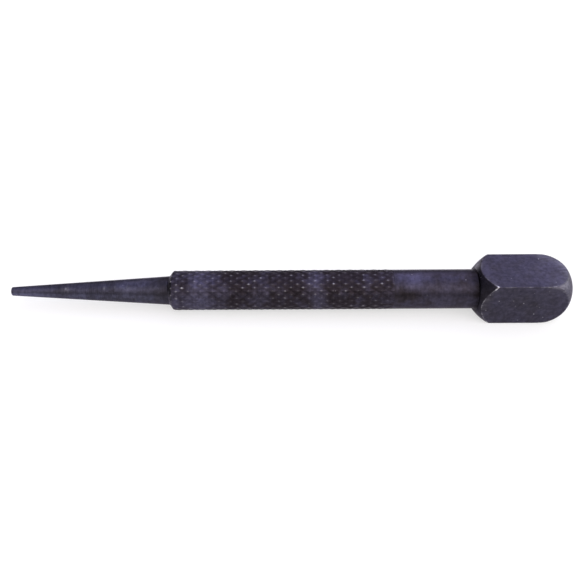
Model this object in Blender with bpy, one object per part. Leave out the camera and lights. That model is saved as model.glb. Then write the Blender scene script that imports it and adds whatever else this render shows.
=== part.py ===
"""Square-head nail punch, turned from one 9 mm square steel bar and blackened.

The tool lies along X, its point towards -X, with one flat of its square head on the plane z = 0.
The origin is on that plane, below the middle of the tool's length.

The real tool is a single bar. Each machined zone of it is its own closed solid here, and two zones
meet at a flat joint as wide as ZONE_GAP: tapered point, knurled grip, plain shank, square head.
"""

import math

import bmesh
import bpy

MM = 0.001

# Lengths along the axis.
TOOL_LENGTH = 101.6 * MM  # four inches over all
TAPER_LENGTH = 29.0 * MM
GRIP_LENGTH = 40.4 * MM  # the shoulder and the knurl
SHOULDER_LENGTH = 0.75 * MM
HEAD_LENGTH = 17.2 * MM
ZONE_GAP = 0.02 * MM

# Tapered point.
TIP_DIAMETER = 1.6 * MM  # one sixteenth of an inch
TIP_CHAMFER = 0.08 * MM
CUP_DIAMETER = 1.0 * MM
CUP_DEPTH = 0.2 * MM
TAPER_END_DIAMETER = 5.25 * MM

# Shank, and the knurl that is rolled into it.
SHANK_DIAMETER = 7.15 * MM
KNURL_STARTS = 18  # grooves of each hand around the grip
KNURL_AXIAL_PITCH = 2.15 * MM  # length of one diamond
KNURL_RISE = 0.05 * MM  # crests above the shank's surface
KNURL_SINK = 0.05 * MM  # groove crossings below it
KNURL_RUN_IN = 0.9 * MM  # shoulder's edge to the first row of crests
KNURL_CREST_ANGLE = math.radians(40)  # of a crest in that row
KNURL_RUN_OUT = 0.5 * MM  # last row to the plain shank, at least

# Square head.
HEAD_ACROSS_FLATS = 9.0 * MM
HEAD_ACROSS_ARRISES = 12.6 * MM  # turned to this, which takes the sharp edge off each arris
UNDERSIDE_START_DIAMETER = 8.0 * MM  # leaves a narrow flat step around the shank
UNDERSIDE_START_ANGLE = math.radians(51)  # between the underside's curve and the axis, at the step
UNDERSIDE_CURVE_RADIUS = 12.0 * MM
CROWN_EDGE_RADIUS = 5.5 * MM
CROWN_RADIUS = 7.5 * MM

# Fineness of the turned surfaces.
POINT_SEGMENTS = 40
SHANK_SEGMENTS = 64
HEAD_SEGMENTS = 64
CUP_STEPS = 4
UNDERSIDE_STEPS = 4
CROWN_EDGE_STEPS = 8
CROWN_STEPS = 5
SHARP_EDGE_ANGLE = math.radians(30)
KNURL_SHARP_ANGLE = math.radians(5)
MERGE_DISTANCE = 0.0001 * MM

# Places along the axis, from the tip at -X to the struck end at +X.
TIP_X = -TOOL_LENGTH / 2
GRIP_X = TIP_X + TAPER_LENGTH
SHANK_X = GRIP_X + GRIP_LENGTH
HEAD_X = TOOL_LENGTH / 2 - HEAD_LENGTH
SHANK_LENGTH = HEAD_X - SHANK_X
AXIS_Z = HEAD_ACROSS_FLATS / 2

# Blackened steel: base colour, roughness and metallic value of each zone.
FINISHES = {
    "point_steel": ((0.061, 0.059, 0.090, 1.0), 0.38, 1.0),
    "grip_steel": ((0.050, 0.045, 0.068, 1.0), 0.40, 1.0),
    "shank_steel": ((0.044, 0.039, 0.060, 1.0), 0.34, 1.0),
    "head_steel": ((0.045, 0.041, 0.061, 1.0), 0.40, 1.0),
}


def clear_scene():
    """Remove every object of the open file."""
    for scene_object in list(bpy.data.objects):
        bpy.data.objects.remove(scene_object, do_unlink=True)


def steel(slot):
    """Return the Principled material of one zone."""
    colour, roughness, metallic = FINISHES[slot]
    material = bpy.data.materials.new(slot)
    material.use_nodes = True
    material.diffuse_color = colour
    shader = material.node_tree.nodes["Principled BSDF"]
    shader.inputs["Base Color"].default_value = colour
    shader.inputs["Roughness"].default_value = roughness
    shader.inputs["Metallic"].default_value = metallic
    return material


def tool_axis():
    """Return the empty on the tool's axis that carries every zone."""
    empty = bpy.data.objects.new("tool_axis", None)
    empty.empty_display_size = HEAD_ACROSS_FLATS
    empty.location = (0, 0, AXIS_Z)
    bpy.context.scene.collection.objects.link(empty)
    return empty


def place(name, mesh, axis, start_x):
    """Return a new object on the tool's axis whose local x = 0 is at start_x."""
    placed = bpy.data.objects.new(name, mesh)
    placed.parent = axis
    placed.location = (start_x, 0, 0)
    bpy.context.scene.collection.objects.link(placed)
    return placed


def turned_body(profile, segments, first_angle=0.0):
    """Spin (x, radius) points once around the X axis and return the closed body as a bmesh."""
    body = bmesh.new()
    y = math.cos(first_angle)
    z = math.sin(first_angle)
    outline = [body.verts.new((x, radius * y, radius * z)) for x, radius in profile]
    edges = [body.edges.new(pair) for pair in zip(outline, outline[1:])]
    bmesh.ops.spin(
        body,
        geom=outline + edges,
        axis=(1, 0, 0),
        cent=(0, 0, 0),
        angle=math.tau,
        steps=segments,
        use_merge=True,
    )
    bmesh.ops.remove_doubles(body, verts=body.verts[:], dist=MERGE_DISTANCE)
    bmesh.ops.recalc_face_normals(body, faces=body.faces[:])
    return body


def finished_mesh(name, body, sharp_angle=SHARP_EDGE_ANGLE):
    """Turn a bmesh into a smooth shaded mesh that keeps corners above the given angle sharp."""
    mesh = bpy.data.meshes.new(name)
    body.to_mesh(mesh)
    body.free()
    mesh.shade_smooth()
    mesh.set_sharp_from_angle(angle=sharp_angle)
    return mesh


def cup_profile():
    """Points of the shallow round cup in the tip, from its bottom out to its rim."""
    half_width = CUP_DIAMETER / 2
    sphere_radius = (half_width**2 + CUP_DEPTH**2) / (2 * CUP_DEPTH)
    opening_angle = math.asin(half_width / sphere_radius)
    centre_x = CUP_DEPTH - sphere_radius
    points = []
    for step in range(CUP_STEPS + 1):
        angle = opening_angle * step / CUP_STEPS
        points.append((centre_x + sphere_radius * math.cos(angle), sphere_radius * math.sin(angle)))
    return points


def tapered_point(axis):
    """Cupped tip and long taper, up to the foot of the grip's shoulder."""
    tip_radius = TIP_DIAMETER / 2
    end_x = TAPER_LENGTH - ZONE_GAP / 2
    profile = cup_profile() + [
        (0, tip_radius - TIP_CHAMFER),
        (TIP_CHAMFER, tip_radius),
        (end_x, TAPER_END_DIAMETER / 2),
        (end_x, 0),
    ]
    mesh = finished_mesh("tapered_point", turned_body(profile, POINT_SEGMENTS))
    mesh.materials.append(steel("point_steel"))
    return place("tapered_point", mesh, axis, TIP_X)


def knurl_rows():
    """Places along the grip where the grooves cross, one half diamond apart."""
    first = SHOULDER_LENGTH + KNURL_RUN_IN
    room = GRIP_LENGTH - ZONE_GAP / 2 - KNURL_RUN_OUT - first
    count = int(room / (KNURL_AXIAL_PITCH / 2)) + 1
    return [first + row * KNURL_AXIAL_PITCH / 2 for row in range(count)]


def cut_knurl(body, rows):
    """Cut the diamond knurl into a turned blank.

    Around the grip and along it, crests and groove crossings take turns. Each crest is the top of a
    four-sided pyramid, and the base edges of the pyramids lie along the bottoms of the grooves.
    """
    angle_step = math.pi / KNURL_STARTS
    crossings = []
    for vertex in body.verts:
        row = round((vertex.co.x - rows[0]) / (KNURL_AXIAL_PITCH / 2))
        if not 0 <= row < len(rows) or abs(vertex.co.x - rows[row]) > MERGE_DISTANCE:
            continue
        angle = math.atan2(vertex.co.z, vertex.co.y) - KNURL_CREST_ANGLE
        is_crest = (round(angle / angle_step) + row) % 2 == 0
        height = KNURL_RISE if is_crest else -KNURL_SINK
        scale = 1 + height / (SHANK_DIAMETER / 2)
        vertex.co.y *= scale
        vertex.co.z *= scale
        if not is_crest:
            crossings.append(vertex)
    bmesh.ops.connect_verts(body, verts=crossings)
    bmesh.ops.recalc_face_normals(body, faces=body.faces[:])


def knurled_grip(axis):
    """Chamfered shoulder and diamond knurl, up to the plain shank."""
    shank_radius = SHANK_DIAMETER / 2
    start_x = ZONE_GAP / 2
    end_x = GRIP_LENGTH - ZONE_GAP / 2
    rows = knurl_rows()
    profile = [(start_x, 0), (start_x, TAPER_END_DIAMETER / 2), (SHOULDER_LENGTH, shank_radius)]
    profile += [(row_x, shank_radius) for row_x in rows]
    profile += [(end_x, shank_radius), (end_x, 0)]

    body = turned_body(profile, 2 * KNURL_STARTS, KNURL_CREST_ANGLE)
    cut_knurl(body, rows)
    mesh = finished_mesh("knurled_grip", body, KNURL_SHARP_ANGLE)
    mesh.materials.append(steel("grip_steel"))
    return place("knurled_grip", mesh, axis, GRIP_X)


def plain_shank(axis):
    """Plain turned neck between the knurl and the head."""
    radius = SHANK_DIAMETER / 2
    start_x = ZONE_GAP / 2
    end_x = SHANK_LENGTH - ZONE_GAP / 2
    profile = [(start_x, 0), (start_x, radius), (end_x, radius), (end_x, 0)]
    mesh = finished_mesh("plain_shank", turned_body(profile, SHANK_SEGMENTS))
    mesh.materials.append(steel("shank_steel"))
    return place("plain_shank", mesh, axis, SHANK_X)


def underside_profile():
    """Points of the head's underside: a slightly bulging curve from the step out to the arrises."""
    start_radius = UNDERSIDE_START_DIAMETER / 2
    centre_x = ZONE_GAP / 2 + UNDERSIDE_CURVE_RADIUS * math.sin(UNDERSIDE_START_ANGLE)
    centre_radius = start_radius - UNDERSIDE_CURVE_RADIUS * math.cos(UNDERSIDE_START_ANGLE)
    end_angle = math.acos((HEAD_ACROSS_ARRISES / 2 - centre_radius) / UNDERSIDE_CURVE_RADIUS)
    points = []
    for step in range(UNDERSIDE_STEPS + 1):
        angle = UNDERSIDE_START_ANGLE + (end_angle - UNDERSIDE_START_ANGLE) * step / UNDERSIDE_STEPS
        x = centre_x - UNDERSIDE_CURVE_RADIUS * math.sin(angle)
        points.append((x, centre_radius + UNDERSIDE_CURVE_RADIUS * math.cos(angle)))
    return points


def crown_profile():
    """Points of the struck end: an edge arc from the arrises, then a flatter crown to the axis."""
    edge_centre_radius = HEAD_ACROSS_ARRISES / 2 - CROWN_EDGE_RADIUS
    crown_centre_x = HEAD_LENGTH - CROWN_RADIUS
    centre_distance = CROWN_RADIUS - CROWN_EDGE_RADIUS
    edge_centre_x = crown_centre_x + math.sqrt(centre_distance**2 - edge_centre_radius**2)
    meeting_angle = math.asin(edge_centre_radius / centre_distance)
    points = []
    for step in range(CROWN_EDGE_STEPS + 1):
        angle = math.pi / 2 + (meeting_angle - math.pi / 2) * step / CROWN_EDGE_STEPS
        x = edge_centre_x + CROWN_EDGE_RADIUS * math.cos(angle)
        points.append((x, edge_centre_radius + CROWN_EDGE_RADIUS * math.sin(angle)))
    for step in range(1, CROWN_STEPS + 1):
        angle = meeting_angle * (1 - step / CROWN_STEPS)
        points.append((crown_centre_x + CROWN_RADIUS * math.cos(angle), CROWN_RADIUS * math.sin(angle)))
    return points


def head_turning(axis):
    """The round shape that the square bar is turned to: underside, arrises, crowned end."""
    profile = [(ZONE_GAP / 2, 0)] + underside_profile() + crown_profile()
    mesh = finished_mesh("head_turning", turned_body(profile, HEAD_SEGMENTS))
    turning = place("head_turning", mesh, axis, HEAD_X)
    turning.hide_render = True
    turning.display_type = "WIRE"
    return turning


def square_bar_mesh():
    """Square bar, longer than the head at both ends, along local X."""
    overhang = HEAD_ACROSS_FLATS / 4
    length = HEAD_LENGTH + 2 * overhang
    bar = bmesh.new()
    bmesh.ops.create_cube(bar, size=1)
    bmesh.ops.scale(bar, vec=(length, HEAD_ACROSS_FLATS, HEAD_ACROSS_FLATS), verts=bar.verts[:])
    bmesh.ops.translate(bar, vec=(HEAD_LENGTH / 2, 0, 0), verts=bar.verts[:])
    return finished_mesh("square_head", bar)


def square_head(axis):
    """Square bar cut to the head's turned shape, which leaves four flats with curved ends."""
    mesh = square_bar_mesh()
    mesh.materials.append(steel("head_steel"))
    head = place("square_head", mesh, axis, HEAD_X)
    turning_cut = head.modifiers.new("turning", "BOOLEAN")
    turning_cut.operation = "INTERSECT"
    turning_cut.solver = "EXACT"
    turning_cut.object = head_turning(axis)
    return head


def build():
    """Build the whole tool."""
    clear_scene()
    axis = tool_axis()
    tapered_point(axis)
    knurled_grip(axis)
    plain_shank(axis)
    square_head(axis)


build()
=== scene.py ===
"""Looks of the square-head nail punch: four finely modelled zones in blackened steel, on a pale floor."""

import math

import bmesh
import bpy
import numpy as np
from mathutils import Matrix, Vector


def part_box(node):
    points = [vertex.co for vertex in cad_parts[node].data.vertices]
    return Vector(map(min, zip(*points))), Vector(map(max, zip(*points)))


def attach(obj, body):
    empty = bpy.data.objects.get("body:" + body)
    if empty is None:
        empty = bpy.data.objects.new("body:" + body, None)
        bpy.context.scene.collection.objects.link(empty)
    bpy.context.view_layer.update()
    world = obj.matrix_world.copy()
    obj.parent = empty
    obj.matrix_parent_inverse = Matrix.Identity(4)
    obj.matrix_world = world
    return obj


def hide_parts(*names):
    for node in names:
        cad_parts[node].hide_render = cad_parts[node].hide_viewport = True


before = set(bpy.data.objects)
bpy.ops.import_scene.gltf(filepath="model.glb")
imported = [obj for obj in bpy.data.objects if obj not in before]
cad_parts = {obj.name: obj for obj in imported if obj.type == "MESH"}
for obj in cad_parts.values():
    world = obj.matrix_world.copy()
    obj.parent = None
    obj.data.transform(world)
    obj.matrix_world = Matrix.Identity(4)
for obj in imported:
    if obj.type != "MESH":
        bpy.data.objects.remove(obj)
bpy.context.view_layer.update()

# Lengths are in metres. Along the tool, x is 0 at its middle and grows towards the struck end. Around it,
# sides are in degrees: 0 is the back, 90 the top and 180 the front.
#
# Four masks drive the steel's look. Warmth runs from blue oxide at 0 to brown at 1. Wear bares the steel
# on edges and crests, in patches, and rubbed bares larger places evenly, and also carries painted sheen on
# the grip's shoulder and painted highlights on the head's rim and underside. The shading mask is painted
# shade and light: it darkens the oxide above 0 and lightens it below 0. Lists of patches hold, for each
# patch: its middle and half-length along the tool in mm, its side and half-width around it, or None where
# it goes all round, and what it adds.
MM = 0.001

# Places along the axis and radii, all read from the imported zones.
point_low, point_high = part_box("tapered_point")
grip_low, grip_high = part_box("knurled_grip")
shank_low, shank_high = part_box("plain_shank")
head_low, head_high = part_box("square_head")
AXIS_Z = (head_low.z + head_high.z) / 2
TIP_X = point_low.x
GRIP_X = (point_high.x + grip_low.x) / 2
SHANK_X = (grip_high.x + shank_low.x) / 2
HEAD_X = (shank_high.x + head_low.x) / 2
END_X = head_high.x
TAPER_END_RADIUS = (point_high.z - point_low.z) / 2
SHANK_RADIUS = (shank_high.z - shank_low.z) / 2
HALF_FLATS = (head_high.z - head_low.z) / 2

# Point.
TIP_RADIUS = 0.8 * MM
CUP_RADIUS = 0.5 * MM
CUP_DEPTH = 0.2 * MM
TIP_EDGE = 0.1 * MM
TIP_WEAR_LENGTH = 0.12 * MM
TAPER_FOOT_FILLET = 0.12 * MM
TAPER_FOOT_RISE = 0.5  # share of a full round that the fillet rises
POINT_RUN_ON = 0.3 * MM  # the point runs on into the grip, out of sight
POINT_COLUMNS = 144
CUP_STEPS = 12
TAPER_STEPS = 330
ROUND_STEPS = 8  # mesh steps over a small rounded edge or fillet
RING_PITCH = 0.37 * MM  # the turning tool's feed
RING_DEPTH = 0.006 * MM
RINGS_X = -35.0 * MM
RINGS_HALF_LENGTH = 5.0 * MM
NICKS = [(-40.4, 119, 0.06), (-25.9, 215, 0.04)]  # place in mm, side, depth in mm
NICK_LENGTH = 0.14 * MM
NICK_WIDTH = 9
POINT_RUBBED = [
    (-40.4, 0.22, 122, 9, 0.3),
    (-40.5, 0.9, 122, 24, 0.06),
    (-33.4, 0.2, 122, 8, 0.14),
    (-31.5, 0.2, 115, 8, 0.09),
    (-29.0, 0.4, 120, 12, 0.05),
]
# painted shade at the taper's foot, in the corner by the grip's shoulder
FOOT_PAINTED_SHADE = 0.18
FOOT_PAINTED_SHADE_LENGTH = 0.9 * MM
# painted shade in the turning rings
RING_PAINTED_SHADE = 0.22
# painted light: below 0 the oxide is lighter towards the tip
TIP_PAINTED_LIGHT = -0.22
TIP_PAINTED_LIGHT_LENGTH = 4.0 * MM
POINT_WARMTH = 0.5
POINT_PATCHES = [
    (-48.0, 2.6, None, None, -0.4),
    (-28.6, 2.4, 105, 35, -0.4),
    (-29.0, 8.0, 190, 25, 0.35),
    (-22.6, 1.6, None, None, 0.5),
]

# Knurl: crests stand above the shank's surface and grooves are pressed below it.
SHOULDER_LENGTH = 0.75 * MM
KNURL_STARTS = 18
KNURL_PITCH = 2.15 * MM
KNURL_RUN_IN = 0.9 * MM  # shoulder's edge to the first whole row of crests
KNURL_CREST_ANGLE = math.radians(40)  # of a crest in that row
KNURL_RISE = 0.05 * MM
KNURL_SINK = 0.05 * MM
KNURL_SHARPNESS = 1.15  # above 1 the crests' sides are hollow, with a flat base between them
KNURL_CREST_WORN = 0.12  # share of the height that is worn off the crests
KNURL_CREST_SOFTNESS = 0.3  # share of the height over which a worn crest rounds off
KNURL_STEPS = 16  # mesh steps over one diamond
KNURL_FADE = 0.5 * MM
SHOULDER_FADE = 0.6  # share of the slope over which the knurl fades in
SHOULDER_TURN = 0.3  # share of the slope over which the knurl turns square to it
KNURL_PAINTED_SHADE = 0.27  # painted shade: the oxide is darker down in the grooves
SHOULDER_PAINTED_LIGHT = -1.7  # painted light: below 0 the oxide is lighter, here on the shoulder's slope
# painted sheen: bare steel on the shoulder's slope
SHOULDER_PAINTED_SHEEN = 0.28
SHOULDER_PAINTED_SHEEN_SIDE = 138
SHOULDER_PAINTED_SHEEN_WIDTH = 32
CREST_WEAR_WIDTH = 0.2  # share of the way from a crest to a groove
COOL_WEAR = 0.45  # wear of the crests where the oxide is blue, against 1 where it is brown
# painted shade: the crests at the front are left less bare, so fewer of them glint
FRONT_CRESTS_PAINTED_SHADE_SIDE = 172
FRONT_CRESTS_PAINTED_SHADE_WIDTH = 24
FRONT_CRESTS_PAINTED_SHADE = 0.6
NEAR_SHOULDER_WEAR = 2.5  # extra wear on the first crests
NEAR_SHOULDER_X = GRIP_X + 1.0 * MM
NEAR_SHOULDER_LENGTH = 2.2 * MM
GRIP_WARMTH = 1.0
GRIP_PATCHES = [
    (-20.6, 1.2, None, None, -0.4),
    (-16.0, 2.8, None, None, -0.95),
    (-10.8, 1.4, 140, 30, -0.35),
    (-4.2, 1.6, None, None, -0.3),
    (4.9, 1.5, None, None, -0.6),
    (13.8, 1.8, 105, 30, -0.4),
    (18.9, 1.0, 105, 40, -0.5),
]

# Shank.
SHANK_FILLET = 0.2 * MM
SHANK_COLUMNS = 192
SHANK_STEPS = 140
SHANK_WARMTH = 0.55
SHANK_PATCHES = [
    (22.0, 4.0, 113, 24, -0.38),
    (20.6, 3.2, 158, 12, 0.6),
    (19.5, 1.0, 160, 50, 0.4),
    (34.0, 2.0, None, None, 0.3),
]
CORNER_PAINTED_SHADE = 0.6  # painted shade: the oxide is darker in the corner under the head
SHANK_PAINTED_SHADE_LENGTH = 1.3 * MM

# Head.
ARRIS_RADIUS = 6.3 * MM
UNDERSIDE_START_RADIUS = 4.0 * MM
UNDERSIDE_START_ANGLE = math.radians(51)
UNDERSIDE_CURVE_RADIUS = 12.0 * MM
STEP_EDGE = 0.1 * MM
CROWN_EDGE_RADIUS = 5.5 * MM
CROWN_RADIUS = 7.5 * MM
EDGE_SOFTNESS = 0.14 * MM
CROWN_EDGE_SOFTNESS = 0.16 * MM
ARRIS_ROUNDING = 0.3 * MM
ARRIS_EDGE_SOFTNESS = 0.1 * MM
TINY = 1e-9  # keeps the middle of a flat from dividing by 0
HEAD_COLUMNS = 72  # in each quarter
ARRIS_CLOSENESS = 1.7  # above 1 the columns crowd towards the arrises
ROW_CLOSENESS = 2.2  # above 1 the rows crowd towards both ends of a zone
STEP_EDGE_STEPS = 6
UNDERSIDE_ROWS = 30
FLAT_ROWS = 64
CROWN_ROWS = 48
LAST_ROW_GAP = 0.002 * MM  # the last row is a small circle this far before the end
HEAD_WARMTH = 0.3
HEAD_PATCHES = [
    (34.4, 1.0, 165, 35, 0.7),
    (41.5, 2.6, 170, 22, 0.45),
    (50.5, 2.2, 175, 25, -0.3),
]

# Wear of the head, along its edges and on the struck end.
ARRIS_WEAR = 0.3
ARRIS_WEAR_WIDTH = 0.1 * MM
ARRIS_WEAR_SPREAD = 0.5 * MM  # added at the struck end
ARRIS_WEAR_REACH = 1.6 * MM  # along an arris, up to the struck end
CORNER_WIDTH = 0.4 * MM  # of the corner where an arris meets the underside
UNDER_EDGE_WEAR = 0.5
UNDER_EDGE_WIDTH = 0.08 * MM
CORNER_WEAR = 5.0  # added at the corner
CORNER_WEAR_SPREAD = 0.05 * MM
FLAT_START_WEAR = 0.05
FLAT_START_WEAR_LENGTH = 0.8 * MM
FRONT_WEAR = 0.1  # added at the front
FRONT_WEAR_SIDE = 185
FRONT_WEAR_WIDTH = 40
CROWN_EDGE_WEAR = 0.2
CROWN_EDGE_WEAR_LENGTH = 0.25 * MM
CROWN_WEAR = 0.04
CROWN_WEAR_STEP = 0.08 * MM

# Evenly rubbed places on the head, and painted highlights on its upper rim and the underside's back.
CROWN_RUBBED = 0.06
CROWN_RUB_MARGIN = 0.22 * MM  # the rubbed area starts this far before the turned end
CROWN_RUB_STEP = 0.1 * MM
# painted highlight on the struck end's upper rim
RIM_PAINTED_HIGHLIGHT = 0.14
RIM_PAINTED_HIGHLIGHT_LENGTH = 0.85 * MM
RIM_PAINTED_HIGHLIGHT_SIDE = 76
RIM_PAINTED_HIGHLIGHT_WIDTH = 40
# painted highlight on the underside's upper back
UNDERSIDE_PAINTED_HIGHLIGHT = 0.26
UNDERSIDE_PAINTED_HIGHLIGHT_X = HEAD_X + 0.2 * MM
UNDERSIDE_PAINTED_HIGHLIGHT_LENGTH = 0.6 * MM
UNDERSIDE_PAINTED_HIGHLIGHT_SIDE = 62
UNDERSIDE_PAINTED_HIGHLIGHT_WIDTH = 18
ARRIS_END_RUBBED = 0.1
ARRIS_END_WIDTH = 0.1 * MM
ARRIS_END_SPREAD = 0.6 * MM
ARRIS_END_REACH = 1.2 * MM

# Painted shade and painted light on the head's oxide.
HEAD_PAINTED_SHADE_LENGTH = 0.3 * MM
UNDERSIDE_STEP = 0.1 * MM  # the painted shade and light are full where the underside lies this far inside the bar
# painted shade on the underside's front
UNDERSIDE_PAINTED_SHADE = 0.52
UNDERSIDE_PAINTED_SHADE_SIDE = 172
UNDERSIDE_PAINTED_SHADE_WIDTH = 42
# painted light on the underside's upper back
UNDERSIDE_PAINTED_LIGHT = 0.7
UNDERSIDE_PAINTED_LIGHT_SIDE = 122
UNDERSIDE_PAINTED_LIGHT_WIDTH = 20
# painted light on the head's top
TOP_PAINTED_LIGHT = 0.35
TOP_PAINTED_LIGHT_X = 46 * MM
TOP_PAINTED_LIGHT_LENGTH = 3.5 * MM
TOP_PAINTED_LIGHT_SIDE = 90
TOP_PAINTED_LIGHT_WIDTH = 40

# Oxide. Scales are in features per millimetre. A span is the part of a texture's values that is used.
NOISE_SPAN = (0.3, 0.7)
# bare steel, also the colour of the painted sheen and highlights
BARE_STEEL = (0.62, 0.60, 0.65, 1.0)
GRAZING_TINT = (0.68, 0.66, 0.70, 1.0)  # rough oxide shines less at the outline than polished metal
TURNED = (2.7, 0.2, 0.2)  # scales of the tool marks along the axis and across it
DRAWN = (0.5, 2.5, 2.5)
DRIFT_SCALE = 0.45
DRIFT = 0.4  # how far the patches' warmth drifts
GRAIN_SCALE = 7.0
MOTTLING_SCALE = 1.7
MOTTLING = 0.26  # share lighter and darker
STREAK_SPAN = (0.25, 0.75)
STREAKS = 0.15
# value of the painted shading where the oxide is three times as light: painted light
LIGHTEST_PAINTED_SHADING = -2.0
WEAR_SCALE = 1.1
WEAR_SPAN = (0.40, 0.72)
LEAST_WORN = 0.1
WEAR_CONTRAST = 1.6
SPECK_SCALE = 1.6
SPECK_SIZE = 0.36  # share of a cell
SPECK_RAGGEDNESS = 6.0
SPECK_CHOICE_STEP = 0.01
SPECK_BARENESS = 0.45
RUBBED_AND_HIGHLIGHT_SPAN = (0.35, 0.65)
RUBBED_AND_HIGHLIGHT_FACTORS = (0.5, 1.4)
GLOSS_SCALE = 0.9
GLOSS_DRIFT = 0.06
BARE_GLOSS = 0.12  # bare steel is this much less rough
MARK_RELIEF = 0.7
GRAIN_RELIEF = 0.3
RELIEF_DEPTH = 0.012 * MM

# Stage.
WHITE = (1.0, 1.0, 1.0, 1.0)
BLACK = (0.0, 0.0, 0.0, 1.0)
CAMERA_ELEVATION = math.radians(43.6)
CAMERA_TURN = math.radians(-0.73)
CAMERA_ROLL = math.radians(-0.83)
CAMERA_DISTANCE = 110.2 * MM
CAMERA_SHIFT = 0.07 * MM  # the view's middle lies this far to the right of the tool's
CAMERA_DROP = 0.04 * MM  # and this far below its axis
CAMERA_LENS_MM = 37.42
CAMERA_NEAR = 0.005
CAMERA_FAR = 20
FLOOR_SIZE = 4.0
FLOOR_COLOUR = (0.42, 0.42, 0.42, 1.0)
FLOOR_ROUGHNESS = 0.9
FLOOR_SHINE = 0.1
FLOOR_GLOW = 0.6
BACKDROP_RADIUS = 3.0
BACKDROP_SEGMENTS = 32
BACKDROP_ROUGHNESS = 0.5
BACKDROP_SHINE = 0.0
BACKDROP_GLOW = 1.0
STUDIO_LIGHTS = [  # azimuth (0 at the back, 90 at the right) and elevation, tightness, colour
    (0, 45, 6, (0.98, 0.91, 0.92)),
    (45, 45, 6, (1.04, 1.08, 1.60)),
    (0, 90, 6, (0.42, 0.45, 0.72)),
    (185, 50, 4, (1.60, 1.50, 1.42)),
    (90, 8, 12, (3.30, 3.40, 3.45)),
    (122, 32, 16, (3.20, 3.05, 3.05)),
    (70, 30, 12, (1.20, 1.25, 0.60)),
]


def revolve(name, x, radius, angles, **masks):
    """Closed mesh around the tool's axis from grids of x and radius, row by row and angle by angle.

    The first and the last row are closed with a point on the axis. Each mask has a value for each grid
    point, and is kept on the mesh for the material.
    """
    rows, columns = radius.shape
    y = radius * np.cos(angles)
    z = AXIS_Z + radius * np.sin(angles)
    points = np.stack([x, y, z], axis=-1).reshape(-1, 3)
    first_pole = (x[0].mean(), 0.0, AXIS_Z)
    last_pole = (x[-1].mean(), 0.0, AXIS_Z)
    points = np.concatenate([points, [first_pole, last_pole]])
    here = np.arange(rows * columns).reshape(rows, columns)
    beside = np.roll(here, -1, axis=1)
    quads = np.stack([here[:-1], beside[:-1], beside[1:], here[1:]], axis=-1).reshape(-1, 4).tolist()
    first_fan = [(rows * columns, b, a) for a, b in zip(here[0].tolist(), beside[0].tolist())]
    last_fan = [(rows * columns + 1, a, b) for a, b in zip(here[-1].tolist(), beside[-1].tolist())]
    mesh = bpy.data.meshes.new(name)
    mesh.from_pydata(points.tolist(), [], quads + first_fan + last_fan)
    mesh.update()
    mesh.shade_smooth()
    for mask_name, grid in masks.items():
        values = np.concatenate([grid.reshape(-1), [grid[0].mean(), grid[-1].mean()]])
        attribute = mesh.attributes.new(mask_name, "FLOAT", "POINT")
        attribute.data.foreach_set("value", values.astype(np.float32))
    piece = bpy.data.objects.new(name, mesh)
    bpy.context.scene.collection.objects.link(piece)
    return piece


def soft_min(a, b, width):
    """The smaller of a and b, rounded off where they are within width of each other."""
    closeness = np.maximum(width - np.abs(a - b), 0) / width
    return np.minimum(a, b) - closeness**2 * width / 4


def bell(distance, width):
    """1 at distance 0, falling smoothly to 0 over about twice the width."""
    return np.exp(-((distance / width) ** 2))


def side_bell(angles, side, width):
    """1 at a side of the tool, falling smoothly to 0 over about twice the width; both in degrees."""
    return bell(np.mod(np.degrees(angles) - side + 180, 360) - 180, width)


def patched(x, angles, base, patches):
    """A value from 0 to 1 at each place: base, with soft patches of more or less."""
    share = np.full(np.broadcast_shapes(x.shape, angles.shape), float(base))
    for middle, length, side, width, strength in patches:
        patch = bell(x - middle * MM, length * MM)
        if side is not None:
            patch = patch * side_bell(angles, side, width)
        share = share + strength * patch
    return np.clip(share, 0, 1)


def profile_rows(profile, columns):
    """Repeat (x, radius) profile points over all columns."""
    x = np.repeat(np.array([[point[0]] for point in profile]), columns, axis=1)
    radius = np.repeat(np.array([[point[1]] for point in profile]), columns, axis=1)
    return x, radius


def arc(centre_x, centre_radius, size, start, end, steps):
    """Points of a circular arc in the (x, radius) plane, with both ends."""
    angles = np.linspace(start, end, steps + 1)
    return [(centre_x + size * math.cos(a), centre_radius + size * math.sin(a)) for a in angles]


def fillet_rises(size):
    """Steps of a fillet as (advance, rise), from tangent to the surface up to square to it."""
    turns = np.linspace(0, math.pi / 2, ROUND_STEPS + 1)[1:]
    return [(size * math.sin(turn), size * (1 - math.cos(turn))) for turn in turns]


def tip_profile():
    """The tip's cup and rounded rim, from the middle outwards."""
    sphere = (CUP_RADIUS**2 + CUP_DEPTH**2) / (2 * CUP_DEPTH)
    opening = math.asin(CUP_RADIUS / sphere)
    cup = arc(TIP_X + CUP_DEPTH - sphere, 0, sphere, opening / CUP_STEPS, opening, CUP_STEPS - 1)
    rim = arc(TIP_X + TIP_EDGE, TIP_RADIUS - TIP_EDGE, TIP_EDGE, math.pi, math.pi / 2, ROUND_STEPS)
    return cup + rim


def taper_profile():
    """The straight taper with a small fillet at its foot, run on into the grip."""
    start = TIP_X + TIP_EDGE
    foot = GRIP_X - TAPER_FOOT_FILLET
    slope = (TAPER_END_RADIUS - TIP_RADIUS) / (GRIP_X - start)
    taper = [(x, TIP_RADIUS + slope * (x - start)) for x in np.linspace(start, foot, TAPER_STEPS + 1)[1:]]
    fillet = []
    for advance, rise in fillet_rises(TAPER_FOOT_FILLET):
        x = foot + advance
        fillet.append((x, TIP_RADIUS + slope * (x - start) + rise * TAPER_FOOT_RISE))
    end_x = GRIP_X + POINT_RUN_ON
    return taper + fillet + [(end_x, fillet[-1][1]), (end_x, TAPER_END_RADIUS / 2)]


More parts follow.
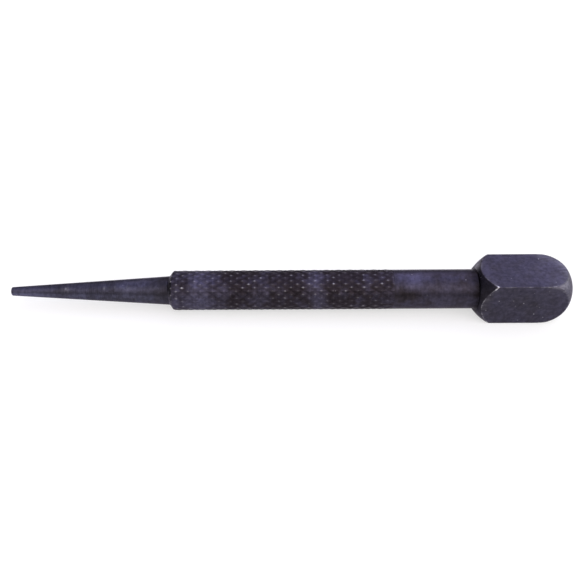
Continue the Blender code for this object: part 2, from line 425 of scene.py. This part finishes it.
def tapered_point():
    """Cupped tip, worn round its rim, and the long taper with turning rings and small nicks."""
    angles = np.linspace(0, math.tau, POINT_COLUMNS, endpoint=False)
    x, radius = profile_rows(tip_profile() + taper_profile(), POINT_COLUMNS)
    rings = (1 - np.cos(math.tau * x / RING_PITCH)) / 2 * bell(x - RINGS_X, RINGS_HALF_LENGTH)
    radius = radius - RING_DEPTH * rings
    for nick_x, side, depth in NICKS:
        dent = bell(x - nick_x * MM, NICK_LENGTH) * side_bell(angles, side, NICK_WIDTH)
        radius = radius - depth * MM * dent
    wear = bell(x - TIP_X, TIP_WEAR_LENGTH) * (radius > CUP_RADIUS)
    brown = patched(x, angles, POINT_WARMTH, POINT_PATCHES)
    rubbed = patched(x, angles, 0, POINT_RUBBED)
    # painted shade at the foot and in the rings, painted light towards the tip
    soot = FOOT_PAINTED_SHADE * bell(x - GRIP_X, FOOT_PAINTED_SHADE_LENGTH) + RING_PAINTED_SHADE * rings
    soot = soot + TIP_PAINTED_LIGHT * bell(x - TIP_X, TIP_PAINTED_LIGHT_LENGTH)
    return revolve("punch_point", x, radius, angles, wear=wear, rubbed=rubbed, warmth=brown, soot=soot)


def knurl_height(along, angle):
    """Height of the knurl from 0 in the grooves to 1 on the crests, and how worn each place is."""
    row = (along - KNURL_RUN_IN) / KNURL_PITCH
    turn = (angle - KNURL_CREST_ANGLE) / (math.tau / KNURL_STARTS)
    off_right = 2 * np.abs(row + turn - np.round(row + turn))
    off_left = 2 * np.abs(row - turn - np.round(row - turn))
    off_crest = np.maximum(off_right, off_left)
    pointed = (1 - off_crest) ** KNURL_SHARPNESS / (1 - KNURL_CREST_WORN)
    height = soft_min(pointed, np.ones_like(pointed), KNURL_CREST_SOFTNESS)
    return height, bell(off_crest, CREST_WEAR_WIDTH)


def crest_wear_and_painted_shade(x, angles, crest, brown):
    """How bare the crests are: barer in brown stretches and by the shoulder, less so at the front as
    painted shade.
    """
    wear = crest * (COOL_WEAR + (1 - COOL_WEAR) * brown)
    wear = wear * (1 - FRONT_CRESTS_PAINTED_SHADE * side_bell(angles, FRONT_CRESTS_PAINTED_SHADE_SIDE, FRONT_CRESTS_PAINTED_SHADE_WIDTH))
    return wear * (1 + NEAR_SHOULDER_WEAR * bell(x - NEAR_SHOULDER_X, NEAR_SHOULDER_LENGTH))


def with_end_rows(grid, factor=1.0):
    """The grid with its first and last row given once more, times factor."""
    return np.concatenate([grid[:1] * factor, grid, grid[-1:] * factor])


def grip_rows(slant, length):
    """Places of the grip's rows along its surface: 0 at the shoulder's edge, below 0 on its slope."""
    step = KNURL_PITCH / KNURL_STEPS
    first = KNURL_RUN_IN - math.floor((KNURL_RUN_IN + slant) / step) * step
    return np.concatenate([[-slant], np.arange(first, length, step), [length]])


def knurled_grip():
    """Chamfered shoulder and diamond knurl. The knurl runs on over the shoulder, fading out."""
    angles = np.linspace(0, math.tau, KNURL_STARTS * KNURL_STEPS, endpoint=False) + KNURL_CREST_ANGLE
    shoulder_rise = SHANK_RADIUS - TAPER_END_RADIUS
    slant = math.hypot(SHOULDER_LENGTH, shoulder_rise)
    length = SHANK_X - GRIP_X - SHOULDER_LENGTH
    along = grip_rows(slant, length)
    on_slant = np.minimum(along, 0) / slant
    base_x = GRIP_X + SHOULDER_LENGTH + np.maximum(along, 0) + on_slant * SHOULDER_LENGTH
    base_radius = SHANK_RADIUS + on_slant * shoulder_rise
    height, crest = knurl_height(along[:, None], angles[None, :])
    fade_in = np.clip((along + slant) / (SHOULDER_FADE * slant), 0, 1)
    fade = (fade_in * np.clip((length - along) / KNURL_FADE, 0, 1))[:, None]
    lift = fade * (height * (KNURL_RISE + KNURL_SINK) - KNURL_SINK)
    lean = np.clip(-along / (SHOULDER_TURN * slant), 0, 1)[:, None] * shoulder_rise / slant
    x = with_end_rows(base_x[:, None] - lift * lean)
    radius = with_end_rows(base_radius[:, None] + lift * np.sqrt(1 - lean**2), 0.5)
    on_slant = on_slant[:, None]
    # painted sheen on the shoulder's slope
    rubbed = -SHOULDER_PAINTED_SHEEN * on_slant * side_bell(angles, SHOULDER_PAINTED_SHEEN_SIDE, SHOULDER_PAINTED_SHEEN_WIDTH)
    rubbed = with_end_rows(rubbed)
    # painted shade in the grooves, painted light on the shoulder's slope
    soot = with_end_rows(KNURL_PAINTED_SHADE * fade * (1 - height) + SHOULDER_PAINTED_LIGHT * on_slant**2)
    brown = patched(x, angles, GRIP_WARMTH, GRIP_PATCHES)
    wear = crest_wear_and_painted_shade(x, angles, with_end_rows(crest * fade, 0.0), brown)
    return revolve("punch_grip", x, radius, angles, wear=wear, rubbed=rubbed, warmth=brown, soot=soot)


def plain_shank():
    """Plain turned neck with a small fillet under the head."""
    fillet_x = HEAD_X - SHANK_FILLET
    profile = [(SHANK_X, SHANK_RADIUS / 2), (SHANK_X, SHANK_RADIUS)]
    profile += [(x, SHANK_RADIUS) for x in np.linspace(SHANK_X, fillet_x, SHANK_STEPS + 1)[1:]]
    profile += [(fillet_x + advance, SHANK_RADIUS + rise) for advance, rise in fillet_rises(SHANK_FILLET)]
    profile += [(HEAD_X + SHANK_FILLET, SHANK_RADIUS), (HEAD_X + SHANK_FILLET, SHANK_RADIUS / 2)]
    angles = np.linspace(0, math.tau, SHANK_COLUMNS, endpoint=False)
    x, radius = profile_rows(profile, SHANK_COLUMNS)
    brown = patched(x, angles, SHANK_WARMTH, SHANK_PATCHES)
    # painted shade in the corner under the head
    soot = CORNER_PAINTED_SHADE * bell(HEAD_X - x, SHANK_PAINTED_SHADE_LENGTH)
    return revolve("punch_shank", x, radius, angles, warmth=brown, soot=soot)


def underside_centre():
    """Centre (x, radius) of the curve that the head's underside is turned to."""
    centre_x = HEAD_X + UNDERSIDE_CURVE_RADIUS * math.sin(UNDERSIDE_START_ANGLE)
    centre_radius = UNDERSIDE_START_RADIUS - UNDERSIDE_CURVE_RADIUS * math.cos(UNDERSIDE_START_ANGLE)
    return centre_x, centre_radius


def underside_radius_at(x):
    """Radius of the head's underside at x, growing on past the arrises."""
    centre_x, centre_radius = underside_centre()
    before = np.minimum(x - centre_x, 0)
    return centre_radius + np.sqrt(UNDERSIDE_CURVE_RADIUS**2 - before**2)


def underside_x_at(radius):
    """Place along the axis where the head's underside has this radius."""
    centre_x, centre_radius = underside_centre()
    return centre_x - np.sqrt(UNDERSIDE_CURVE_RADIUS**2 - (radius - centre_radius) ** 2)


def crown_geometry():
    """Centres of the struck end's two arcs: edge arc (x, radius) and crown (x)."""
    edge_centre_radius = ARRIS_RADIUS - CROWN_EDGE_RADIUS
    crown_centre_x = END_X - CROWN_RADIUS
    between = CROWN_RADIUS - CROWN_EDGE_RADIUS
    edge_centre_x = crown_centre_x + math.sqrt(between**2 - edge_centre_radius**2)
    return edge_centre_x, edge_centre_radius, crown_centre_x


def crown_radius_at(x):
    """Radius of the struck end's turned shape at x, growing on past the arrises before it starts."""
    edge_x, edge_radius, crown_x = crown_geometry()
    join_x = crown_x + (edge_x - crown_x) * CROWN_RADIUS / (CROWN_RADIUS - CROWN_EDGE_RADIUS)
    on_edge = np.maximum(x - edge_x, 0)
    edge = edge_radius + np.sqrt(np.maximum(CROWN_EDGE_RADIUS**2 - on_edge**2, 0))
    edge = edge + np.maximum(edge_x - x, 0)
    crown = np.sqrt(np.maximum(CROWN_RADIUS**2 - (x - crown_x) ** 2, 0))
    return np.where(x < join_x, edge, crown)


def rounded_square(angles):
    """Distance from the axis to the bar's surface at each angle, with its arrises rounded off."""
    along = np.abs(np.cos(angles))
    across = np.abs(np.sin(angles))
    flat = HALF_FLATS / np.maximum(along, across)
    other = HALF_FLATS / np.maximum(np.minimum(along, across), TINY)
    squared = soft_min(flat, other, ARRIS_ROUNDING)
    return soft_min(squared, np.full_like(squared, ARRIS_RADIUS), ARRIS_EDGE_SOFTNESS)


def head_angles():
    """Angles around the head, closer together towards each arris."""
    even = np.linspace(-1, 1, HEAD_COLUMNS, endpoint=False)
    from_arris = np.sign(even) * np.abs(even) ** ARRIS_CLOSENESS * math.pi / 4
    quarters = [from_arris + math.pi / 4 + turn * math.pi / 2 for turn in range(4)]
    return np.concatenate(quarters)


def blended_steps(count):
    """Shares from 0 to 1 that crowd together at both ends."""
    even = np.linspace(-1, 1, count)
    return (1 + np.sign(even) * (1 - (1 - np.abs(even)) ** ROW_CLOSENESS)) / 2


def arris_distance(angles, bar):
    """Distance around the bar from the nearest arris."""
    return np.abs(np.mod(angles, math.pi / 2) - math.pi / 4) * bar


def head_wear(x, angles, bar, under, crown, flat_end):
    """How far the oxide is worn off the arrises, the flats' curved ends and the struck end."""
    on_bar = (under > bar) * (crown > bar)
    from_arris = arris_distance(angles, bar)
    near_end = np.clip(1 - (flat_end - x) / ARRIS_WEAR_REACH, 0, 1)
    arris_width = ARRIS_WEAR_WIDTH + ARRIS_WEAR_SPREAD * near_end**2
    worn_arris = ARRIS_WEAR * bell(from_arris, arris_width) * on_bar
    corner = bell(from_arris, CORNER_WIDTH)[None, :]
    under_edge = bell(under - bar, UNDER_EDGE_WIDTH + CORNER_WEAR_SPREAD * corner)
    under_edge = under_edge * (UNDER_EDGE_WEAR + CORNER_WEAR * corner)
    flat_start = FLAT_START_WEAR + FRONT_WEAR * side_bell(angles, FRONT_WEAR_SIDE, FRONT_WEAR_WIDTH)
    flat_start = flat_start * bell(under - bar, FLAT_START_WEAR_LENGTH) * on_bar
    crown_edge = CROWN_EDGE_WEAR * bell(crown - bar, CROWN_EDGE_WEAR_LENGTH) * (under > bar)
    struck = CROWN_WEAR * np.clip((bar - crown) / CROWN_WEAR_STEP, 0, 1)
    return np.maximum.reduce([worn_arris, under_edge, flat_start, crown_edge, struck])


def head_rubbed(x, angles, bar, crown, flat_end):
    """Evenly rubbed places, the struck end and the arrises' ends, and painted highlights on the struck
    end's upper rim and the underside's back.
    """
    struck = CROWN_RUBBED * np.clip((bar - crown + CROWN_RUB_MARGIN) / CROWN_RUB_STEP, 0, 1)
    # painted highlight on the upper rim
    rim = RIM_PAINTED_HIGHLIGHT * bell(crown - bar, RIM_PAINTED_HIGHLIGHT_LENGTH)
    rim = rim * side_bell(angles, RIM_PAINTED_HIGHLIGHT_SIDE, RIM_PAINTED_HIGHLIGHT_WIDTH)
    # painted highlight on the underside's back
    underside = UNDERSIDE_PAINTED_HIGHLIGHT * side_bell(angles, UNDERSIDE_PAINTED_HIGHLIGHT_SIDE, UNDERSIDE_PAINTED_HIGHLIGHT_WIDTH)
    underside = underside * bell(x - UNDERSIDE_PAINTED_HIGHLIGHT_X, UNDERSIDE_PAINTED_HIGHLIGHT_LENGTH)
    near_end = np.clip(1 - (flat_end - x) / ARRIS_END_REACH, 0, 1) * (crown > bar)
    arris_width = ARRIS_END_WIDTH + ARRIS_END_SPREAD * near_end
    arris_end = ARRIS_END_RUBBED * near_end * bell(arris_distance(angles, bar), arris_width)
    return np.maximum.reduce([struck, rim, underside, arris_end])


def head_soot(x, angles, bar, under):
    """Painted shade and light on the oxide: painted shade by the shank and on the underside's front,
    painted light above it and on top.
    """
    on_underside = np.clip((bar - under) / UNDERSIDE_STEP, 0, 1)
    # painted shade in the corner by the shank
    corner = CORNER_PAINTED_SHADE * bell(x - HEAD_X, HEAD_PAINTED_SHADE_LENGTH)
    # painted shade on the underside's front, painted light on its upper back and on top
    dark = UNDERSIDE_PAINTED_SHADE * side_bell(angles, UNDERSIDE_PAINTED_SHADE_SIDE, UNDERSIDE_PAINTED_SHADE_WIDTH) * on_underside
    light = UNDERSIDE_PAINTED_LIGHT * side_bell(angles, UNDERSIDE_PAINTED_LIGHT_SIDE, UNDERSIDE_PAINTED_LIGHT_WIDTH) * on_underside
    top = TOP_PAINTED_LIGHT * bell(x - TOP_PAINTED_LIGHT_X, TOP_PAINTED_LIGHT_LENGTH)
    top = top * side_bell(angles, TOP_PAINTED_LIGHT_SIDE, TOP_PAINTED_LIGHT_WIDTH)
    return np.maximum(corner, dark) - light - top


def step_profile():
    """The flat step around the shank, with its rounded edge, and the place where the underside starts."""
    facing = math.pi / 2 + UNDERSIDE_START_ANGLE
    underside_x = HEAD_X + STEP_EDGE * (1 + math.cos(facing))
    step_radius = underside_radius_at(underside_x) - STEP_EDGE * math.sin(facing)
    edge = arc(HEAD_X + STEP_EDGE, step_radius, STEP_EDGE, math.pi, facing, STEP_EDGE_STEPS)[:-1]
    return [(HEAD_X, SHANK_RADIUS / 2)] + edge, underside_x


def head_rows(underside_x, flat_start, flat_end):
    """Places along the axis of the head's rows, which crowd together at both ends of each zone."""
    start = np.full_like(flat_start, underside_x)
    end = np.full_like(flat_start, END_X)
    zones = [
        (start, flat_start, UNDERSIDE_ROWS),
        (flat_start, flat_end, FLAT_ROWS),
        (flat_end, end, CROWN_ROWS),
    ]
    rows = [start]
    for low, high, count in zones:
        rows += [low + share * (high - low) for share in blended_steps(count)[1:]]
    rows[-1] = end - LAST_ROW_GAP
    return np.array(rows)


def square_head():
    """Turned underside, four flats with curved ends, and the crowned struck end."""
    angles = head_angles()
    bar = rounded_square(angles)
    edge_x, edge_radius, _ = crown_geometry()
    flat_end = edge_x + np.sqrt(CROWN_EDGE_RADIUS**2 - (bar - edge_radius) ** 2)
    step, underside_x = step_profile()
    x = head_rows(underside_x, underside_x_at(bar), flat_end)
    under = underside_radius_at(x)
    crown = crown_radius_at(x)
    radius = soft_min(under, bar[None, :], EDGE_SOFTNESS)
    radius = soft_min(radius, crown, CROWN_EDGE_SOFTNESS)
    masks = {
        "wear": head_wear(x, angles, bar, under, crown, flat_end),
        "rubbed": head_rubbed(x, angles, bar, crown, flat_end),
        "soot": head_soot(x, angles, bar, under),
    }
    masks = {
        name: np.concatenate([np.repeat(grid[:1], len(step), axis=0), grid]) for name, grid in masks.items()
    }
    step_x, step_radius = profile_rows(step, len(angles))
    x = np.concatenate([step_x, x])
    radius = np.concatenate([step_radius, radius])
    brown = patched(x, angles, HEAD_WARMTH, HEAD_PATCHES)
    return revolve("punch_head", x, radius, angles, warmth=brown, **masks)


def set_input(tree, socket, value):
    """Link a socket to an input, or set a plain value on it."""
    if isinstance(value, bpy.types.NodeSocket):
        tree.links.new(value, socket)
    else:
        socket.default_value = value


def add_node(tree, kind, **inputs):
    """Add a shader node and set its inputs."""
    node = tree.nodes.new(kind)
    for name, value in inputs.items():
        set_input(tree, node.inputs[name], value)
    return node


def millimetres(tree, scale=(1.0, 1.0, 1.0)):
    """Place on the object in millimetres, stretched by scale."""
    coordinates = tree.nodes.new("ShaderNodeTexCoord")
    mapping = add_node(tree, "ShaderNodeMapping", Vector=coordinates.outputs["Object"])
    mapping.inputs["Scale"].default_value = [value / MM for value in scale]
    return mapping.outputs["Vector"]


def noise(tree, vector, scale, detail=3.0, roughness=0.55):
    """A noise value around 0.5."""
    settings = {"Scale": scale, "Detail": detail, "Roughness": roughness}
    return add_node(tree, "ShaderNodeTexNoise", Vector=vector, **settings).outputs["Fac"]


def spread(tree, value, low, high, to_low=0.0, to_high=1.0):
    """Map a value from low..high to to_low..to_high, clamped."""
    node = add_node(tree, "ShaderNodeMapRange", Value=value)
    node.inputs["From Min"].default_value = low
    node.inputs["From Max"].default_value = high
    node.inputs["To Min"].default_value = to_low
    node.inputs["To Max"].default_value = to_high
    return node.outputs["Result"]


def maths(tree, operation, first, second):
    """One operation on two values."""
    node = tree.nodes.new("ShaderNodeMath")
    node.operation = operation
    set_input(tree, node.inputs[0], first)
    set_input(tree, node.inputs[1], second)
    return node.outputs["Value"]


def product(tree, first, *others):
    """All the values multiplied."""
    for other in others:
        first = maths(tree, "MULTIPLY", first, other)
    return first


def mixed(tree, share, first, second, blend="MIX"):
    """Mix of two colours."""
    node = tree.nodes.new("ShaderNodeMix")
    node.data_type = "RGBA"
    node.blend_type = blend
    set_input(tree, node.inputs["Factor"], share)
    set_input(tree, node.inputs["A"], first)
    set_input(tree, node.inputs["B"], second)
    return node.outputs["Result"]


def mask(tree, name):
    """A mask kept on the mesh."""
    attribute = tree.nodes.new("ShaderNodeAttribute")
    attribute.attribute_name = name
    return attribute.outputs["Fac"]


def specks(tree, place, share):
    """Small ragged specks: a share of the cells around scattered points, of uneven strength."""
    cells = add_node(tree, "ShaderNodeTexVoronoi", Vector=place, Scale=SPECK_SCALE)
    draws = add_node(tree, "ShaderNodeSeparateXYZ", Vector=cells.outputs["Color"])
    chosen = spread(tree, draws.outputs["X"], 1 - share, 1 - share + SPECK_CHOICE_STEP)
    strength = maths(tree, "POWER", draws.outputs["Y"], 2.0)
    ragged = noise(tree, place, SPECK_RAGGEDNESS, detail=2.0)
    ragged = spread(tree, ragged, *NOISE_SPAN, -SPECK_SIZE / 3, SPECK_SIZE / 3)
    distance = maths(tree, "ADD", cells.outputs["Distance"], ragged)
    spot = spread(tree, distance, SPECK_SIZE / 2, SPECK_SIZE / 4)
    return product(tree, chosen, spot, strength)


def oxide_colour(tree, place, marks, cool, warm):
    """Blue and brown oxide in patches, mottled, streaked along the tool marks, with painted shade and light
    from its mask.
    """
    drift = noise(tree, place, DRIFT_SCALE, detail=5.0, roughness=0.6)
    drift = spread(tree, drift, *NOISE_SPAN, -DRIFT, DRIFT)
    brown = spread(tree, maths(tree, "ADD", mask(tree, "warmth"), drift), 0.0, 1.0)
    mottling = noise(tree, place, MOTTLING_SCALE, detail=4.0)
    mottling = spread(tree, mottling, *NOISE_SPAN, 1 - MOTTLING, 1 + MOTTLING)
    streaks = spread(tree, marks, *STREAK_SPAN, 1 - STREAKS, 1 + STREAKS)
    # painted shade above 0, painted light below 0
    soot = spread(tree, mask(tree, "soot"), LIGHTEST_PAINTED_SHADING, 1.0, 1 - LIGHTEST_PAINTED_SHADING, 0.0)
    shade = product(tree, mottling, streaks, soot)
    return mixed(tree, 1.0, mixed(tree, brown, cool, warm), shade, blend="MULTIPLY")


def bare_and_highlight_share(tree, place, marks, speck_share, bareness):
    """How bare the steel is: on worn edges, in patches; in specks; and in rubbed places and painted
    highlights, in streaks.
    """
    patchy = spread(tree, noise(tree, place, WEAR_SCALE, detail=2.0), *WEAR_SPAN, LEAST_WORN, 1.0)
    patchy = maths(tree, "POWER", patchy, WEAR_CONTRAST)
    worn = product(tree, mask(tree, "wear"), patchy, bareness)
    flecks = product(tree, specks(tree, place, speck_share), SPECK_BARENESS)
    # rubbed places, and the painted sheen and highlights
    rubbed = product(tree, mask(tree, "rubbed"), spread(tree, marks, *RUBBED_AND_HIGHLIGHT_SPAN, *RUBBED_AND_HIGHLIGHT_FACTORS))
    return maths(tree, "MAXIMUM", maths(tree, "MAXIMUM", worn, flecks), rubbed)


def relief(tree, place, marks):
    """Fine relief of the tool marks and of the oxide's grain."""
    grain = noise(tree, place, GRAIN_SCALE)
    height = maths(tree, "ADD", product(tree, marks, MARK_RELIEF), product(tree, grain, GRAIN_RELIEF))
    bump = add_node(tree, "ShaderNodeBump", Strength=1.0, Distance=RELIEF_DEPTH, Height=height)
    return bump.outputs["Normal"]


def blackened_steel(name, cool, warm, roughness, mark_scales, speck_share, bareness):
    """Black oxide on steel, worn and rubbed off in places, with painted shade, light and highlights from
    its masks. Bareness is that of the worn edges.
    """
    material = bpy.data.materials.new(name)
    material.use_nodes = True
    tree = material.node_tree
    shader = tree.nodes["Principled BSDF"]
    place = millimetres(tree)
    marks = noise(tree, millimetres(tree, mark_scales), 1.0, detail=4.0, roughness=0.65)
    # bare steel, and painted sheen and highlights
    bare = bare_and_highlight_share(tree, place, marks, speck_share, bareness)
    colour = mixed(tree, bare, oxide_colour(tree, place, marks, cool, warm), BARE_STEEL)
    tree.links.new(colour, shader.inputs["Base Color"])
    rough = noise(tree, place, GLOSS_SCALE)
    rough = spread(tree, rough, *NOISE_SPAN, roughness - GLOSS_DRIFT, roughness + GLOSS_DRIFT)
    rough = maths(tree, "SUBTRACT", rough, product(tree, bare, BARE_GLOSS))
    tree.links.new(rough, shader.inputs["Roughness"])
    tree.links.new(relief(tree, place, marks), shader.inputs["Normal"])
    shader.inputs["Metallic"].default_value = 1.0
    shader.inputs["Specular Tint"].default_value = GRAZING_TINT
    return material


def point_steel():
    """Blue-violet oxide of the point."""
    cool = (0.082, 0.080, 0.130, 1.0)
    warm = (0.040, 0.037, 0.050, 1.0)
    return blackened_steel(
        "point_steel_look", cool, warm, roughness=0.38, mark_scales=TURNED, speck_share=0.04, bareness=0.8
    )


def grip_steel():
    """Violet and brown oxide of the grip, worn less bare on its crests."""
    cool = (0.087, 0.080, 0.129, 1.0)
    warm = (0.030, 0.024, 0.030, 1.0)
    return blackened_steel(
        "grip_steel_look", cool, warm, roughness=0.40, mark_scales=TURNED, speck_share=0.02, bareness=0.6
    )


def shank_steel():
    """Darker and smoother oxide of the shank."""
    cool = (0.059, 0.054, 0.087, 1.0)
    warm = (0.029, 0.024, 0.029, 1.0)
    return blackened_steel(
        "shank_steel_look", cool, warm, roughness=0.34, mark_scales=TURNED, speck_share=0.04, bareness=0.8
    )


def head_steel():
    """Greyer, more speckled oxide of the head, with the drawn bar's marks along it."""
    cool = (0.048, 0.044, 0.068, 1.0)
    warm = (0.038, 0.034, 0.044, 1.0)
    return blackened_steel(
        "head_steel_look", cool, warm, roughness=0.40, mark_scales=DRAWN, speck_share=0.12, bareness=0.8
    )


def finish_piece(piece, node, material):
    """Give a piece its material, and let it stand for its CAD zone."""
    piece.data.materials.append(material)
    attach(piece, "root")
    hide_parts(node)


def camera():
    """Camera above the front of the tool, at its middle, close enough for a strong perspective."""
    level = math.cos(CAMERA_ELEVATION)
    forward = Vector(
        (math.sin(CAMERA_TURN) * level, math.cos(CAMERA_TURN) * level, -math.sin(CAMERA_ELEVATION))
    )
    right = forward.cross(Vector((0, 0, 1))).normalized()
    up = right.cross(forward)
    rolled_right = math.cos(CAMERA_ROLL) * right + math.sin(CAMERA_ROLL) * up
    rolled_up = math.cos(CAMERA_ROLL) * up - math.sin(CAMERA_ROLL) * right
    rotation = Matrix((rolled_right, rolled_up, -forward)).transposed()
    data = bpy.data.cameras.new("camera")
    data.lens = CAMERA_LENS_MM
    data.clip_start = CAMERA_NEAR
    data.clip_end = CAMERA_FAR
    eye = bpy.data.objects.new("camera", data)
    target = Vector((CAMERA_SHIFT, 0, AXIS_Z)) - CAMERA_DROP * rolled_up
    eye.matrix_world = Matrix.Translation(target - CAMERA_DISTANCE * forward) @ rotation.to_4x4()
    bpy.context.scene.collection.objects.link(eye)
    bpy.context.scene.camera = eye


def glowing(name, colour, roughness, shine, glow):
    """Plain material that also glows white."""
    material = bpy.data.materials.new(name)
    material.use_nodes = True
    shader = material.node_tree.nodes["Principled BSDF"]
    shader.inputs["Base Color"].default_value = colour
    shader.inputs["Roughness"].default_value = roughness
    shader.inputs["Specular IOR Level"].default_value = shine
    shader.inputs["Emission Color"].default_value = WHITE
    shader.inputs["Emission Strength"].default_value = glow
    return material


def floor():
    """Pale light table that the head's lower flat and the grip's shoulder rest on."""
    contact_head_x = float(underside_x_at(HALF_FLATS))
    contact_grip_x = GRIP_X + SHOULDER_LENGTH
    contact_grip_z = AXIS_Z - SHANK_RADIUS - KNURL_RISE
    slope = math.atan2(contact_grip_z, contact_head_x - contact_grip_x)
    half = FLOOR_SIZE / 2
    corners = [(-half, -half, 0), (half, -half, 0), (half, half, 0), (-half, half, 0)]
    mesh = bpy.data.meshes.new("floor")
    mesh.from_pydata(corners, [], [(0, 1, 2, 3)])
    mesh.materials.append(glowing("pale_floor", FLOOR_COLOUR, FLOOR_ROUGHNESS, FLOOR_SHINE, FLOOR_GLOW))
    ground = bpy.data.objects.new("floor", mesh)
    ground.location = (contact_head_x, 0, 0)
    ground.rotation_euler = (0, slope, 0)
    bpy.context.scene.collection.objects.link(ground)


def backdrop():
    """Plain white surroundings beyond the floor. Only the camera sees them: they light nothing."""
    mesh = bpy.data.meshes.new("backdrop")
    shell = bmesh.new()
    bmesh.ops.create_uvsphere(
        shell, u_segments=BACKDROP_SEGMENTS, v_segments=BACKDROP_SEGMENTS // 2, radius=BACKDROP_RADIUS
    )
    shell.to_mesh(mesh)
    shell.free()
    material = glowing("pale_backdrop", BLACK, BACKDROP_ROUGHNESS, BACKDROP_SHINE, BACKDROP_GLOW)
    mesh.materials.append(material)
    surroundings = bpy.data.objects.new("backdrop", mesh)
    surroundings.visible_diffuse = False
    surroundings.visible_glossy = False
    surroundings.visible_shadow = False
    bpy.context.scene.collection.objects.link(surroundings)


def soft_light(tree, direction, azimuth, elevation, tightness, colour):
    """A round soft light in the surroundings, brightest at its middle and falling off all round."""
    turn = math.radians(azimuth)
    rise = math.radians(elevation)
    middle = (math.sin(turn) * math.cos(rise), math.cos(turn) * math.cos(rise), math.sin(rise))
    dot = tree.nodes.new("ShaderNodeVectorMath")
    dot.operation = "DOT_PRODUCT"
    tree.links.new(direction, dot.inputs[0])
    dot.inputs[1].default_value = middle
    facing = maths(tree, "MAXIMUM", dot.outputs["Value"], 0.0)
    scaled = tree.nodes.new("ShaderNodeVectorMath")
    scaled.operation = "SCALE"
    scaled.inputs[0].default_value = colour
    tree.links.new(maths(tree, "POWER", facing, tightness), scaled.inputs["Scale"])
    return scaled.outputs["Vector"]


def studio():
    """Soft lights at the back, overhead and in front, brighter ones at the right, and dark at the left."""
    world = bpy.data.worlds.new("studio")
    bpy.context.scene.world = world
    world.use_nodes = True
    tree = world.node_tree
    direction = tree.nodes.new("ShaderNodeTexCoord").outputs["Generated"]
    glows = [soft_light(tree, direction, *light) for light in STUDIO_LIGHTS]
    total = glows[0]
    for glow in glows[1:]:
        both = tree.nodes.new("ShaderNodeVectorMath")
        both.operation = "ADD"
        tree.links.new(total, both.inputs[0])
        tree.links.new(glow, both.inputs[1])
        total = both.outputs["Vector"]
    tree.links.new(total, tree.nodes["Background"].inputs["Color"])


bpy.context.scene.view_settings.view_transform = "Standard"
finish_piece(tapered_point(), "tapered_point", point_steel())
finish_piece(knurled_grip(), "knurled_grip", grip_steel())
finish_piece(plain_shank(), "plain_shank", shank_steel())
finish_piece(square_head(), "square_head", head_steel())
camera()
floor()
backdrop()
studio()
